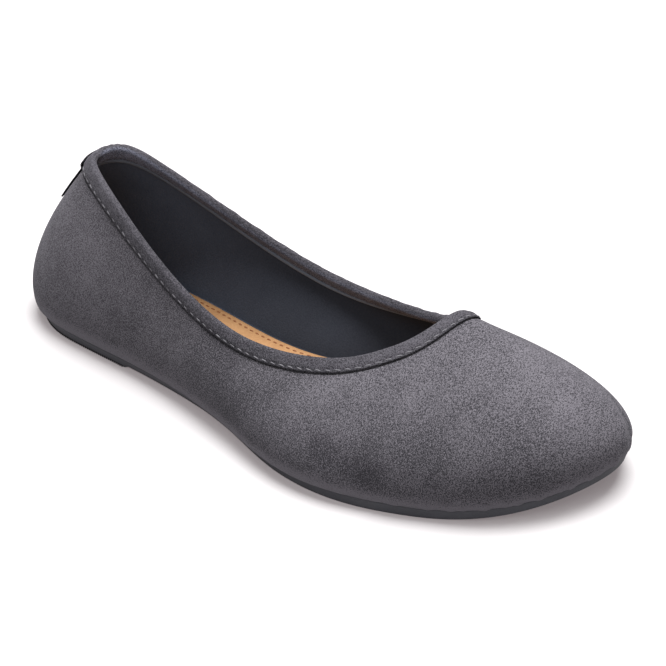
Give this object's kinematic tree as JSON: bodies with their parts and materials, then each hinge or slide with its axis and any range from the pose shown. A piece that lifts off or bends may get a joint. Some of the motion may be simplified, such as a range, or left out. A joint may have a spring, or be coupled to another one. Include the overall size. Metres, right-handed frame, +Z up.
{
  "type": "ballet flat",
  "caption": "Women's slip-on flat with a soft suede upper, a folded topline binding, a tan insole and a thin rubber outsole.",
  "frame": {"origin": "centre of the shoe's box, on the floor under the outsole", "axes": "+X from heel to toe, +Y to the inner side of the foot, +Z up"},
  "size_m": [0.2424, 0.0936, 0.0672],
  "materials": {
    "outsole_rubber": "matt dark charcoal moulded rubber",
    "grey_suede": "grey faux suede with a short mottled nap",
    "insole_tan": "tan sock with a stitched edge",
    "binding_suede": "grey faux suede strip, folded and stitched",
    "tab_black": "thin black strip",
    "lining": "near-black textile lining",
    "thread": "light grey sewing thread"
  },
  "bodies": {
    "root": {"outsole": "outsole_rubber", "upper": "grey_suede", "insole": "insole_tan", "topline_binding": "binding_suede", "heel_tab": "tab_black"}
  },
  "joints": []
}
